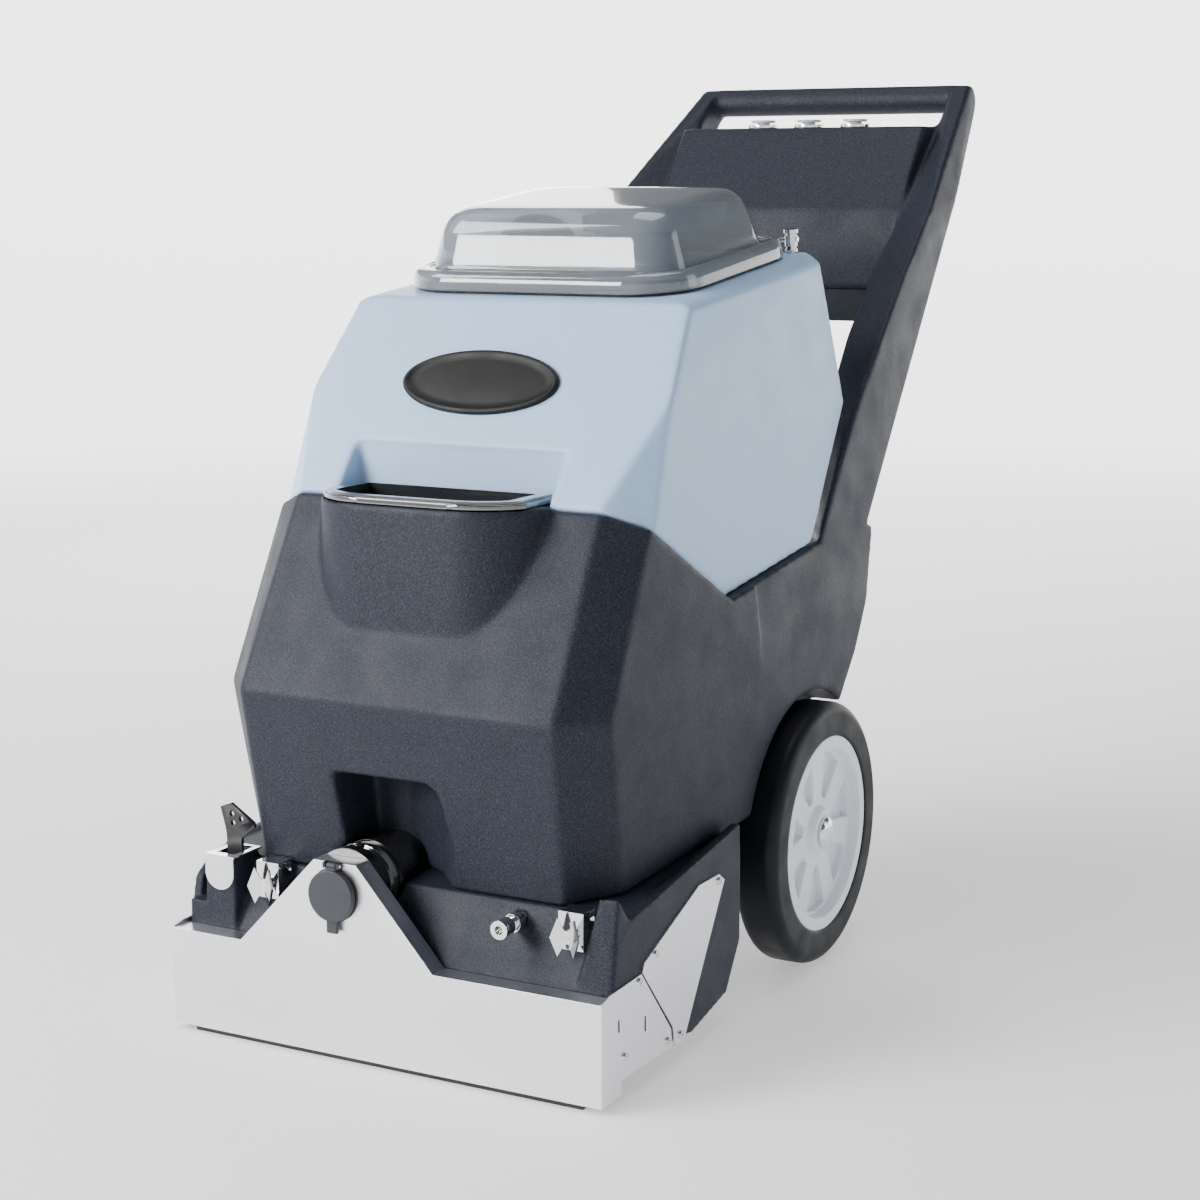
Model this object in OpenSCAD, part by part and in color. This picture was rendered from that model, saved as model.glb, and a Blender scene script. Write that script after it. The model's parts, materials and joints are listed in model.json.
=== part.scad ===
// Walk-behind self-contained carpet cleaner: steel suction shoe and brush deck in front, a solution
// tank with moulded handle arms, a lift-off recovery tank with a clear lid, and two large wheels.
// Millimetres, +Z up, the front faces -Y. The origin is on the floor under the middle of the machine.
// Heights are from the floor; lengths are measured back from the front face of the steel shoe.

/* [Overall] */
// Width across the steel shoe
shoe_w = 480; // [478:1:480]
// Wall of the moulded tanks
wall = 6; // [4:0.5:8]

/* [Shoe and deck] */
// Thickness of the steel sheet
sheet = 2; // [1.5:0.5:2.5]
// Height of the shoe's straight top edge
shoe_top = 104; // [100:1:106]
// Height of the raised peak round the hose port
peak_top = 197; // [195:1:199]
// Depth of the flange folded back along the top edge
flange_d = 22; // [16:1:22]
// Centre of the hose port, sideways
port_x = -45; // [-46:1:-44]
// Centre of the hose port, height
port_z = 166; // [165:1:167]
// Inner radius of the hose port
port_r = 20; // [18:1:21]

/* [Brush and drive] */
// Radius of the brush over its bristles
brush_r = 50; // [46:1:50]
// Brush axis, back from the front
brush_y = 94; // [92:1:96]
// Brush axis, height
brush_z = 52; // [51.5:0.5:54]
// Pitch radius of the brush pulley
brush_pulley_r = 24; // [20:1:26]
// Pitch radius of the motor pulley
motor_pulley_r = 12; // [10:1:14]

/* [Wheels] */
// Tyre radius
tyre_r = 141; // [138:1:141]
// Tyre width
tyre_w = 50; // [46:1:50]
// Outer radius of the hub
hub_r = 105; // [100:1:108]
// Axle, back from the front
axle_y = 498; // [496:1:500]
// Axle radius
axle_r = 10; // [8:0.5:12]
// Radial running clearance of every turning fit
run_gap = 0.05; // [0.02:0.01:0.1]

/* [Handle and console] */
// Grip radius
grip_r = 17.5; // [15:0.5:19]
// Grip axis, back from the front
grip_y = 1082; // [1080:1:1084]
// Grip axis, height
grip_z = 931; // [929:1:933]
// Half-width between the handle arms
arm_x = 162; // [160:1:164]
// Height of the console's top
console_top = 896; // [894:1:896]
// Distance between the switches
switch_gap = 62; // [56:1:70]
// Radius of a switch cap
switch_r = 15; // [12:0.5:16]

/* [Lid] */
// Half-width of the lid's flange
lid_w = 165; // [160:1:166]
// Length of the lid's flange along the slope
lid_l = 308; // [304:1:309]
// Height of the flange
lid_flange = 22; // [18:1:24]
// Height of the dome's top over the tank's top
dome_h = 80; // [76:1:82]
// Wall of the clear lid
lid_wall = 3; // [2.5:0.5:4]

/* [Hidden] */
$fn = 64;
smooth = 32;          // facets of a rounded hull's circles
big = 700;            // longer than anything it cuts
axle_z = tyre_r;
half_w = shoe_w / 2;
deck_w = half_w - 12; // inner half-width of the deck
mid_y = 546;          // from the shoe's front face to the machine's middle
dot = 0.02;           // size of a hull's corner points
motor_y = 200;        // brush motor's shaft
motor_z = 104;
pan_z = 39;           // floor that the motors stand on
wheel_x = 199;        // inner face of a tyre
gland_x = 90;         // entry of the power cord, at the back of the console
gland_z = 740;
switch_y = 998;       // row of switches
lid_tilt = 7;         // slope of the recovery tank's top
lid_y = 293;          // front edge of the lid's flange
lid_z = 715;          // height of the tank's top there
pin_y = -4.2;         // pin of the port's cap
pin_z = port_z + port_r + 9;
hinge_s = 314;        // lid hinge, along the slope
hinge_h = 14;         // lid hinge, over the slope
deck_slope = [[22, 102], [26, 108], [44, 140], [58, 167.6], [297, 185.6]];  // deck's top, back and up
seam = [[120, 532], [131, 526.5], [165, 506], [316, 421], [536, 446], [712, 446]];

// ---- helpers ----

module place() translate([0, -mid_y, 0]) children();

// (back, up) outline, extruded sideways from x0 to x1
module side_prism(x0, x1, outline)
    translate([x0, 0, 0]) rotate([90, 0, 90]) linear_extrude(x1 - x0) polygon(outline);

// (sideways, up) outline, extruded back from y0 to y1
module front_prism(y0, y1, outline)
    translate([0, y1, 0]) rotate([90, 0, 0]) linear_extrude(y1 - y0) polygon(outline);

module block(x0, x1, y0, y1, z0, z1) translate([x0, y0, z0]) cube([x1 - x0, y1 - y0, z1 - z0]);

module rod_x(x0, x1, r, y, z) translate([x0, y, z]) rotate([0, 90, 0]) cylinder(r = r, h = x1 - x0);
module rod_y(y0, y1, r, x, z) translate([x, y0, z]) rotate([-90, 0, 0]) cylinder(r = r, h = y1 - y0);
module rod_z(z0, z1, r, x, y) translate([x, y, z0]) cylinder(r = r, h = z1 - z0);

module both_sides() { children(); mirror([1, 0, 0]) children(); }

// Convex body through corner points, repeated on both sides of the middle
module corners(points) hull() both_sides() for (p = points) translate(p) cube(dot, center = true);
module corners_once(points) hull() for (p = points) translate(p) cube(dot, center = true);

function unit(v) = v / norm(v);
function right_of(a, b) = let (d = unit(b - a)) [d[1], -d[0]];
function reversed(list) = [for (i = [len(list) - 1 : -1 : 0]) list[i]];
// A path moved to its right by t, with mitred corners
function beside(path, t) = [for (i = [0 : len(path) - 1])
    let (j = max(i - 1, 0), k = min(i, len(path) - 2), a = right_of(path[j], path[j + 1]),
         b = right_of(path[k], path[k + 1]), m = unit(a + b)) path[i] + m * t / (m * a)];
// A sheet of thickness t to the right of a path
function sheet_outline(path, t) = concat(path, reversed(beside(path, t)));

// Rounded rectangle from (-w, 0) to (w, l)
module rounded(w, l, r) {
    translate([-w + r, 0]) square([2 * (w - r), l]);
    translate([-w, r]) square([2 * w, l - 2 * r]);
    for (x = [-w + r, w - r], y = [r, l - r]) translate([x, y]) circle(r);
}

// Outline round two pulleys and their straight runs, grown by g
module round_run(a, ra, b, rb, g) {
    t = atan2(b[1] - a[1], b[0] - a[0]);
    s = acos((ra - rb) / norm(b - a));
    polygon(concat(
        [for (k = [0 : 24]) b + (rb + g) * [cos(t - s + k * s / 12), sin(t - s + k * s / 12)]],
        [for (k = [0 : 24]) let(u = t + s + k * (180 - s) / 12) a + (ra + g) * [cos(u), sin(u)]]));
}

// ---- shoe and deck ----

peak_edge = [[-half_w, shoe_top], [-157, shoe_top], [-69, peak_top], [-21, peak_top], [62, shoe_top],
             [half_w, shoe_top]];
shoe_edge = [[-222, 20], [222, 20], [222, 99], [57, 99], [-25, 191], [-66, 191], [-152, 99], [-222, 99]];

module skirt_plate() color([0.83, 0.83, 0.85]) place() difference() {
    union() {
        front_prism(0, sheet, concat(peak_edge, [[half_w, 6], [-half_w, 6]]));
        front_prism(0, flange_d, sheet_outline(peak_edge, sheet));
        both_sides() side_prism(half_w - sheet, half_w,
            [[0, 6], [39, 6], [39, 20], [143, 19], [140, 37], [78, 110], [14, 108], [0, shoe_top]]);
    }
    rod_y(-1, sheet + 1, port_r + 4, port_x, port_z);
    both_sides() {
        block(half_w - 5, half_w + 1, 84.5, 88.5, 52, 67);
        block(half_w - 5, half_w + 1, 32, 36, 68, 80);
    }
}

module side_plate() difference() {
    side_prism(half_w - sheet, half_w,
        [[80, 110.5], [84, 118.5], [199, 162], [243.5, 161.5], [256, 153], [168, 17], [148, 18], [143, 38]]);
    for (p = plate_screw_at) rod_x(half_w - 5, half_w + 1, 2.5, p[0], p[1]);
}
module side_plate_right() color([0.83, 0.83, 0.85]) place() side_plate();
module side_plate_left() color([0.83, 0.83, 0.85]) place() mirror([1, 0, 0]) side_plate();

plate_screw_at = [[106, 121], [243, 155], [160, 25]];
skirt_screw_at = [[45, 41.5], [73, 104], [133, 27.5]];

// Screw heads on both sides: three through each side plate, three on each end of the skirt
module plate_screws() color([0.75, 0.75, 0.77]) place() both_sides() {
    for (p = concat(plate_screw_at, skirt_screw_at)) difference() {
        rod_x(half_w, half_w + 2.2, 4, p[0], p[1]);
        translate([half_w + 1.2, p[0], p[1]]) rotate([0, 90, 0]) cylinder(r = 1.8, h = 2, $fn = 6);
    }
    for (p = plate_screw_at) rod_x(half_w - sheet, half_w, 2.5, p[0], p[1]);
}

module vacuum_shoe() color([0.16, 0.17, 0.19]) place() difference() {
    union() {
        front_prism(sheet, flange_d, shoe_edge);
        block(-218, 218, 5, 19, 0, 20);
    }
    front_prism(6, 18, [[-214, 14], [214, 14], [214, 93], [53, 93], [-28, 185], [-63, 185], [-148, 93],
                        [-214, 93]]);
    block(-212, 212, 8, 16, -1, 20);
    rod_y(0, 7, port_r + 4, port_x, port_z);
    rod_y(17, flange_d + 1, 30, port_x, port_z);
}

module port_collar() color([0.14, 0.14, 0.16]) place() difference() {
    union() {
        rod_y(-2, 6, port_r + 4, port_x, port_z);
        rod_y(-2, 0, port_r + 6, port_x, port_z);
        // a web and two small ears for the cap's pin
        block(port_x - 9, port_x + 9, -1, 0, port_z + port_r + 1, pin_z + 3);
        for (x = [-9, 6]) block(port_x + x, port_x + x + 3, -7, 0, pin_z - 2.5, pin_z + 3);
    }
    rod_y(-3, 7, port_r, port_x, port_z);
    rod_x(port_x - 10, port_x + 10, 1.5, pin_y, pin_z);
}

module cap_pin() color([0.7, 0.7, 0.72]) place() rod_x(port_x - 9, port_x + 9, 1.5, pin_y, pin_z);

module port_cap() color([0.2, 0.21, 0.24]) place() difference() {
    union() {
        rod_y(-9, -2.2, port_r + 5, port_x, port_z);
        rod_y(-2.2, 1.5, port_r - 2.5, port_x, port_z);
        block(port_x - 6, port_x + 6, -7, -3, port_z - 37, port_z - 20);
        block(port_x - 5, port_x + 5, -6, -2.2, port_z + 20, pin_z);
        rod_x(port_x - 5, port_x + 5, 3, pin_y, pin_z);
    }
    rod_x(port_x - 6, port_x + 6, 1.5 + run_gap, pin_y, pin_z);
}

module vacuum_duct() color([0.07, 0.07, 0.08]) place() difference() {
    union() {
        rod_y(flange_d, 112, 36, port_x, port_z);
        rod_y(flange_d, 34, 39, port_x, port_z);
        rod_y(60, 66, 38, port_x, port_z);
    }
    rod_y(flange_d - 1, 108, 30, port_x, port_z);
}

module duct_clip() color([0.8, 0.8, 0.82]) place() difference() {
    rod_y(44, 52, 38, port_x, port_z);
    rod_y(43, 53, 36, port_x, port_z);
    translate([port_x, 40, port_z + 30]) cube([9, 30, 30], center = true);
}

// Left pillar: the lever stands in its slot
module pillar() difference() {
    corners_once([[-234, 22, 100], [-179, 22, 100], [-234, 22, 128], [-179, 22, 128],
                  [-234, 66, 128], [-179, 66, 128], [-234, 66, 100], [-179, 66, 100]]);
    block(-204, -184, 34, 62, 90, 140);
}

module post_right() corners_once([[236, 24, 102], [200, 24, 102], [218, 38, 191], [237, 40, 191],
                                  [237, 67, 158], [206, 67, 158], [200, 40, 102], [236, 40, 102]]);

module base_housing() color([0.2, 0.21, 0.24]) place() difference() {
    union() {
        side_prism(-deck_w, deck_w, sheet_outline(deck_slope, 4));
        both_sides() side_prism(deck_w, half_w - sheet,
            [[40, 24], [150, 20], [192, 17], [268, 33], [299, 80],
             [297, 200], [62, 166], [36, 148], [25, 102], [25, 24]]);
        post_right();
        pillar();
        corners_once([[-214, 22, 126], [-179, 22, 126], [-213, 22, 176], [-179, 22, 176],
                      [-213, 64, 176], [-179, 64, 176], [-214, 66, 126], [-179, 66, 126]]);
    }
    // slot for the lever, through the pillar's top
    block(-206, -184, 30, 62, 132, 180);
    rod_x(-220, -170, 3, 46, 140);
    // passages: the duct through the deck, the coupling, the latch studs
    rod_y(20, 120, 39.5, port_x, port_z);
    rod_y(30, 70, 6, coupling_x, coupling_z);
}

module chassis_frame() color([0.1, 0.1, 0.11]) place() difference() {
    union() {
        side_prism(-deck_w, deck_w, sheet_outline([[294, 181], [294, 82], [267, 36], [152, 36]], 3));
        both_sides() side_prism(172, 180, [[294, 110], [294, 180], [298, 180], [298, 185.5], [352, 189.5],
                                           [500, 189.5], [522, 160], [520, 125], [498, 115], [470, 115]]);
        side_prism(-172, 172, [[440, 120], [456, 120], [456, 136], [440, 136]]);
    }
    rod_x(-200, 200, axle_r, axle_y, axle_z);
}

module spray_bar() color([0.72, 0.72, 0.74]) place() difference() {
    rod_x(-deck_w, deck_w, 6, 36, 92);
    rod_x(-224, 224, 4, 36, 92);
    for (x = [-150 : 60 : 150]) rod_z(80, 92, 1.5, x, 36);
}

module spray_nozzles() color([0.75, 0.62, 0.3]) place() for (x = [-150 : 60 : 150]) difference() {
    rod_z(76, 90, 4.5, x, 36);
    rod_x(x - 5, x + 5, 6, 36, 92);
    rod_z(70, 92, 1.5, x, 36);
}

// ---- brush and drive ----

module brush_hangers() color([0.3, 0.3, 0.32]) place() both_sides() difference() {
    side_prism(198, 208, [[78, 165], [110, 167.5], [112, 52], [106, 36], [82, 36], [76, 52]]);
    rod_x(190, 220, 8, brush_y, brush_z);
}

module brush_core() color([0.15, 0.15, 0.16]) place() {
    rod_x(-194, 194, 22, brush_y, brush_z);
    rod_x(-208, 224, 8 - run_gap, brush_y, brush_z);
}

module brush_bristles() color([0.05, 0.05, 0.06]) place() difference() {
    rod_x(-188, 188, brush_r, brush_y, brush_z);
    rod_x(-190, 190, 22, brush_y, brush_z);
}

module pulley(x0, r, bore, y, z) difference() {
    union() {
        rod_x(x0, x0 + 12, r, y, z);
        rod_x(x0, x0 + 1.5, r + 4, y, z);
        rod_x(x0 + 10.5, x0 + 12, r + 4, y, z);
    }
    rod_x(x0 - 1, x0 + 13, bore, y, z);
}

module brush_pulley() color([0.4, 0.4, 0.42]) place()
    pulley(211, brush_pulley_r, 8 - run_gap, brush_y, brush_z);

module motor_pulley() color([0.4, 0.4, 0.42]) place() {
    pulley(211, motor_pulley_r, 5, motor_y, motor_z);
    rod_x(170, 224, 5, motor_y, motor_z);
}

module drive_belt() color([0.04, 0.04, 0.04]) place() translate([213, 0, 0]) rotate([90, 0, 90])
    linear_extrude(8) difference() {
        round_run([brush_y, brush_z], brush_pulley_r, [motor_y, motor_z], motor_pulley_r, 3);
        round_run([brush_y, brush_z], brush_pulley_r, [motor_y, motor_z], motor_pulley_r, 0.3);
    }

module brush_motor() color([0.25, 0.26, 0.28]) place() difference() {
    union() {
        rod_x(40, 180, 42, motor_y, motor_z);
        rod_x(180, 190, 16, motor_y, motor_z);
        block(60, 160, 170, 230, pan_z, 70);
    }
    rod_x(169, 191, 5 + run_gap, motor_y, motor_z);
}

module vacuum_motor() color([0.3, 0.31, 0.33]) place() {
    rod_z(pan_z, 88, 56, -125, 206);
    rod_z(88, 118, 52, -125, 206);
    rod_z(118, 160, 38, -125, 206);
}

module solution_pump() color([0.12, 0.12, 0.13]) place() {
    block(-34, 26, 180, 250, pan_z, 70);
    rod_y(176, 258, 28, -4, 96);
    block(-26, 18, 160, 176, 74, 118);
}

// ---- solution tank, pocket and handle ----

pocket_x = -8;       // middle of the fill pocket
pocket_w = 127;      // half-width of the pocket's bulge
pocket_y = 65;       // front of the bulge
pocket_r = 78;       // radius of the bulge's corners
pocket_top = 529;

// Plan of the pocket: a wide U with round front corners, inset by g, open to the line y = back
module pocket_plan(g, back) intersection() {
    w = pocket_w - g;
    r = pocket_r - g;
    translate([pocket_x, pocket_y + g]) {
        for (x = [-w + r, w - r]) translate([x, r]) circle(r);
        translate([-w + r, 0]) square([2 * (w - r), 2 * r]);
        translate([-w, r]) square([2 * w, 2 * r]);
    }
    translate([pocket_x - w - 1, pocket_y]) square([2 * w + 2, back - pocket_y]);
}

duct_recess = [[-76, 271], [30, 271], [38, 266], [43, 256], [60, 160], [-64, 160]];

module tank_body() {
    corners([[167, 60, 168], [173, 31, 344], [169, 131, 527], [205, 108, 171.6], [212, 71, 344],
             [208, 165, 527], [224, 352, 190], [226, 372, 346], [212, 372, 527]]);
    corners([[224, 352, 190], [226, 372, 346], [209.5, 372, 460], [224, 520, 190], [226, 560, 280],
             [226, 627, 315], [226, 657, 367], [209.5, 715, 460]]);
}

module solution_tank() color([0.25, 0.26, 0.29]) place() difference() {
    union() {
        difference() {
            tank_body();
            // everything above the saddle that carries the recovery tank
            side_prism(-big, big, concat(seam, [[800, 446], [800, 900], [0, 900], [0, 532]]));
        }
        // the pocket's bulge, and its back which stands up into the recovery tank's notch
        difference() {
            translate([0, 0, 400]) linear_extrude(pocket_top - 400) pocket_plan(0, 160);
            side_prism(-big, big, [[131, 526.5], [165, 506], [165, 560], [131, 560]]);
        }
        block(-119, 107, 125, 169, 460, pocket_top);
    }
    // inside of the pocket, its funnel and its drain into the tank
    translate([0, 0, 432]) linear_extrude(120) intersection() {
        pocket_plan(wall, 163);
        translate([-111, 60]) square([210, 103]);
    }
    rod_z(380, 440, 22, pocket_x, 118);
    // inside of the tank
    side_prism(-158, 158, [[90, 280], [58, 280], [47, 342], [72, 392], [90, 392]]);
    side_prism(-192, 192, [[122, 181], [122, 280], [82, 280], [82, 404], [176, 404], [182, 486], [316, 412],
                           [342, 415], [342, 196]]);
    side_prism(-183, 183,
        [[341, 196], [514, 197], [600, 315], [640, 372], [670, 436], [536, 437], [341, 415]]);
    // recess round the suction duct
    intersection() {
        front_prism(0, 130, duct_recess);
        translate([0, 0, 150]) linear_extrude(130)
            polygon([[-80, 0], [-80, 112], [-30, 112], [20, 88], [62, 44], [62, 0]]);
    }
    rod_y(20, 112, 41, port_x, port_z);
    // wheel arches
    both_sides() rod_x(189, 300, 152, axle_y, axle_z);
}

module pocket_rim() color([0.05, 0.05, 0.055]) place() difference() {
    translate([0, 0, pocket_top]) linear_extrude(5) intersection() {
        pocket_plan(2, 168);
        translate([-118, 60]) square([224, 108]);
    }
    translate([0, 0, pocket_top - 1]) linear_extrude(7) intersection() {
        pocket_plan(9, 160);
        translate([-108, 60]) square([204, 100]);
    }
}

// Lift-out strainer tray with a carrying bar, hung in the pocket by its lip
module fill_strainer() color([0.2, 0.2, 0.22]) place() difference() {
    union() {
        difference() {
            union() {
                translate([0, 0, 492]) linear_extrude(pocket_top - 492 + 5.2) intersection() {
                    pocket_plan(wall + 4, 156);
                    translate([-104, 60]) square([196, 96]);
                }
                translate([0, 0, pocket_top + 5.2]) linear_extrude(2.4) intersection() {
                    pocket_plan(wall, 162);
                    translate([-112, 60]) square([212, 102]);
                }
            }
            translate([0, 0, 495]) linear_extrude(80) intersection() {
                pocket_plan(wall + 7, 153);
                translate([-101, 60]) square([190, 93]);
            }
        }
        rod_x(-62, 46, 4, 118, 514);
        for (x = [-62, 40]) block(x, x + 6, 114, 122, 494, 514);
    }
    for (x = [-84 : 14 : 70], y = [96 : 14 : 140]) if (abs(y - 118) > 5) rod_z(490, 497, 4, x, y);
}

// Edges of an arm's lower length, from its foot up
arm_front = [[212, 549, 446], [212, 596, 520], [214, 650, 592], [216, 708, 657], [217, 774, 727],
             [213, 860, 797]];
arm_inner = [[arm_x, 640, 446], [arm_x, 650, 520], [arm_x, 690, 592], [arm_x, 738, 657], [arm_x, 811, 727],
             [arm_x, 905, 797]];
arm_rear = [for (edge = [[212, 0], [194, 24], [arm_x, 24]], p = [[684, 446], [796, 603], [947, 800]])
    [edge[0], p[0] + edge[1], p[1]]];

module handle_arm() difference() {
    union() {
        corners_once(concat(arm_front, arm_inner, arm_rear));
        hull() {
            for (p = [[213, 860, 797], [arm_x, 905, 797], [213, 947, 800], [194, 971, 800],
                      [arm_x, 971, 800], [197, 984, 872], [arm_x, 1008, 880]])
                translate(p) cube(dot, center = true);
            translate([arm_x, grip_y - 2, grip_z - 4]) rotate([0, 90, 0])
                cylinder(r = 21, h = 20, $fn = smooth);
        }
    }
    side_prism(arm_x + 6, 204, [[664, 452], [684, 452], [795, 603], [938, 790], [908, 790], [826, 727],
                                [754, 657], [706, 592], [672, 520]]);
}
module handle_arm_right() color([0.22, 0.23, 0.26]) place() handle_arm();
module handle_arm_left() color([0.22, 0.23, 0.26]) place() mirror([1, 0, 0]) handle_arm();

module handle_grip() color([0.2, 0.21, 0.24]) place()
    rod_x(-arm_x + dot, arm_x - dot, grip_r, grip_y, grip_z);

console_side = [[971, console_top], [1024, console_top], [1010, 862], [968, 790], [944, 705], [880, 702],
                [898, 796]];
module control_console() color([0.22, 0.23, 0.25]) place() difference() {
    side_prism(-arm_x + dot, arm_x - dot, console_side);
    side_prism(-arm_x + 4, arm_x - 4, [[974, 891], [1018, 891], [1030, 862], [985, 790], [955, 706],
                                       [886, 706], [904, 796]]);
    for (i = [-1, 0, 1]) rod_z(880, 900, 12, i * switch_gap, switch_y);
}

module console_cover() color([0.1, 0.1, 0.11]) place() difference() {
    union() {
        side_prism(-arm_x + dot, arm_x - dot, sheet_outline([[886, 668], [940, 668], [944, 705], [968, 790],
                                                             [1010, 862], [1024, console_top]], 4));
        side_prism(-arm_x + dot, arm_x - dot, [[886, 664], [890, 664], [890, 702], [886, 702]]);
        rod_y(940, 962, 14, gland_x, gland_z);
    }
    rod_y(930, 970, 9, gland_x, gland_z);
    side_prism(-arm_x - 1, arm_x + 1, console_side);
}

module switch_bezels() color([0.75, 0.76, 0.78]) place() for (i = [-1, 0, 1]) difference() {
    union() {
        rod_z(console_top, console_top + 4, 19, i * switch_gap, switch_y);
        rod_z(874, console_top, 12, i * switch_gap, switch_y);
    }
    rod_z(876, console_top + 5, 8 + run_gap, i * switch_gap, switch_y);
}

module switch_cap(i) color([0.86, 0.87, 0.88]) place() {
    rod_z(console_top + 7, console_top + 10, switch_r, i * switch_gap, switch_y);
    rod_z(880, console_top + 7, 8, i * switch_gap, switch_y);
}
module switch_left() switch_cap(-1);
module switch_middle() switch_cap(0);
module switch_right() switch_cap(1);

module cord_gland() color([0.06, 0.06, 0.06]) place() difference() {
    union() {
        rod_y(956, 966, 9, gland_x, gland_z);
        rod_y(962, 984, 13, gland_x, gland_z);
    }
    rod_y(955, 985, 5, gland_x, gland_z);
}

// ---- wheels ----

module axle() color([0.6, 0.6, 0.62]) place()
    rod_x(-wheel_x - tyre_w, wheel_x + tyre_w, axle_r, axle_y, axle_z);

tread_half = [[hub_r, tyre_w / 2], [tyre_r - 9, tyre_w / 2], [tyre_r - 3.5, tyre_w / 2 - 1.5],
              [tyre_r - 1, tyre_w / 2 - 5], [tyre_r, tyre_w / 2 - 10]];
tread = concat(tread_half, reversed([for (p = tread_half) [p[0], -p[1]]]));
module tyre() translate([wheel_x + tyre_w / 2, axle_y, axle_z]) rotate([0, 90, 0])
    rotate_extrude() polygon(tread);

// Hub with seven windows between its spokes
module hub() translate([wheel_x + tyre_w / 2, axle_y, axle_z]) rotate([0, 90, 0]) difference() {
    rotate_extrude() polygon([
        [axle_r + run_gap, -26], [24, -26], [26, -14], [90, -14], [92, -24], [hub_r, -24],
                              [hub_r, 24], [92, 24], [90, 12], [30, 12], [24, 20], [axle_r + run_gap, 20]]);
    for (i = [0 : 6]) rotate([0, 0, i * 360 / 7]) translate([0, 0, 3]) linear_extrude(30)
        polygon([[38, -5], [84, -23], [88, 0], [84, 23], [38, 5]]);
    for (i = [0 : 6]) rotate([0, 0, i * 360 / 7]) translate([0, 0, -30]) linear_extrude(26)
        polygon([[38, -5], [84, -23], [88, 0], [84, 23], [38, 5]]);
}

module axle_cap() difference() {
    translate([wheel_x + tyre_w - 5, axle_y, axle_z]) rotate([0, 90, 0]) rotate_extrude()
        polygon([[0, 0.3], [17, 0.3], [17, 3], [14, 6], [8, 8.4], [0, 9]]);
    rod_x(200, wheel_x + tyre_w, axle_r, axle_y, axle_z);
}
module tyre_right() color([0.1, 0.12, 0.15]) place() tyre();
module tyre_left() color([0.1, 0.12, 0.15]) place() mirror([1, 0, 0]) tyre();
module hub_right() color([0.85, 0.86, 0.88]) place() hub();
module hub_left() color([0.85, 0.86, 0.88]) place() mirror([1, 0, 0]) hub();
module axle_cap_right() color([0.8, 0.8, 0.82]) place() axle_cap();
module axle_cap_left() color([0.8, 0.8, 0.82]) place() mirror([1, 0, 0]) axle_cap();

// ---- lever, latches, coupling ----

module lever_bracket() color([0.85, 0.85, 0.86]) place() difference() {
    union() {
        block(-214, -178, 20, 66, 176 + dot, 178);
        block(-213, -179, 20, 22 - dot, 160, 177);
        rod_y(20, 22 - dot, 17, -196, 160);
    }
    block(-206, -184, 30, 62, 170, 180);
}

module lever_pin() color([0.7, 0.7, 0.72]) place() rod_x(-212, -180, 3, 46, 140);

module foot_lever() color([0.09, 0.09, 0.1]) place() difference() {
    union() {
        front_prism(44, 48, [[-204, 138], [-186, 138], [-186, 190], [-170, 203], [-171, 208], [-198, 225],
                             [-211, 220], [-205, 198], [-204, 190]]);
        rod_x(-205, -185, 7, 46, 140);
    }
    rod_x(-206, -184, 3 + run_gap, 46, 140);
    for (p = [[-197, 214], [-186, 210], [-196, 205]]) rod_y(40, 50, 2.6, p[0], p[1]);
}

latch_x = [-148, 190];
latch_z = 152;
module latch_brackets() color([0.8, 0.8, 0.82]) place() for (x = latch_x) difference() {
    union() {
        side_prism(x - 13, x + 13, sheet_outline([[34, 138], [34, 174], [57, 174], [57, 156]], sheet));
        rod_y(26, 34, 3, x, latch_z);
    }
    side_prism(x - 20, x + 20, concat(deck_slope, [[297, 100], [22, 100]]));
}

module latch_wing(x) color([0.82, 0.82, 0.84]) place() difference() {
    union() {
        rod_y(26, 33, 6, x, latch_z);
        for (s = [-1, 1]) translate([x, 29, latch_z]) rotate([0, 0, -s * 28]) front_prism(-1.2, 1.2,
            [[s * 2, -4], [s * 10, -18], [s * 17, 0], [s * 10, 18], [s * 2, 4]]);
    }
    rod_y(24, 36, 3 + run_gap, x, latch_z);
}
module latch_wing_left() latch_wing(latch_x[0]);
module latch_wing_right() latch_wing(latch_x[1]);

coupling_x = 128;
coupling_z = 154;
module quick_coupling() color([0.78, 0.78, 0.8]) place() difference() {
    union() {
        rod_y(10, 60, 6, coupling_x, coupling_z);
        rod_y(10, 14, 9, coupling_x, coupling_z);
        rod_y(34, 45, 9, coupling_x, coupling_z);
    }
    rod_y(9, 28, 4, coupling_x, coupling_z);
}

module coupling_sleeve() color([0.8, 0.8, 0.82]) place() difference() {
    rod_y(14.5, 27, 8.5, coupling_x, coupling_z);
    rod_y(14, 28, 6 + run_gap, coupling_x, coupling_z);
}

// ---- recovery tank and lid ----

module on_top() translate([0, lid_y, lid_z]) rotate([lid_tilt, 0, 0]) children();

module recovery_tank() color([0.68, 0.75, 0.81]) place() difference() {
    translate([0, 0, 0.6]) corners([[168, 131, 526.5], [181, 275, 711], [208, 165, 506], [203, 209, 626],
        [190.5, 272, 706], [208, 316, 421], [208, 536, 446], [205, 628, 590], [189, 592, 743],
        [169, 286, 713.6], [169, 606, 753], [165, 540, 446.4], [165, 664, 590], [160, 640, 730]]);
    // notch over the fill pocket
    block(-124, 112, 60, 172, 490, 577);
    // inside
    side_prism(-196, 196,
        [[186, 503], [186, 582], [206, 600], [612, 600], [605, 560], [530, 454], [316, 429]]);
    side_prism(-178, 178, [[204, 598], [284, 699], [300, 706], [590, 742], [624, 598]]);
    on_top() translate([0, 40, -20]) linear_extrude(30) rounded(128, 198, 34);
    on_top() rod_z(-3, 10, 3.2, -150, hinge_s);
    on_top() rod_z(-3, 10, 3.2, 150, hinge_s);
}

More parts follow.
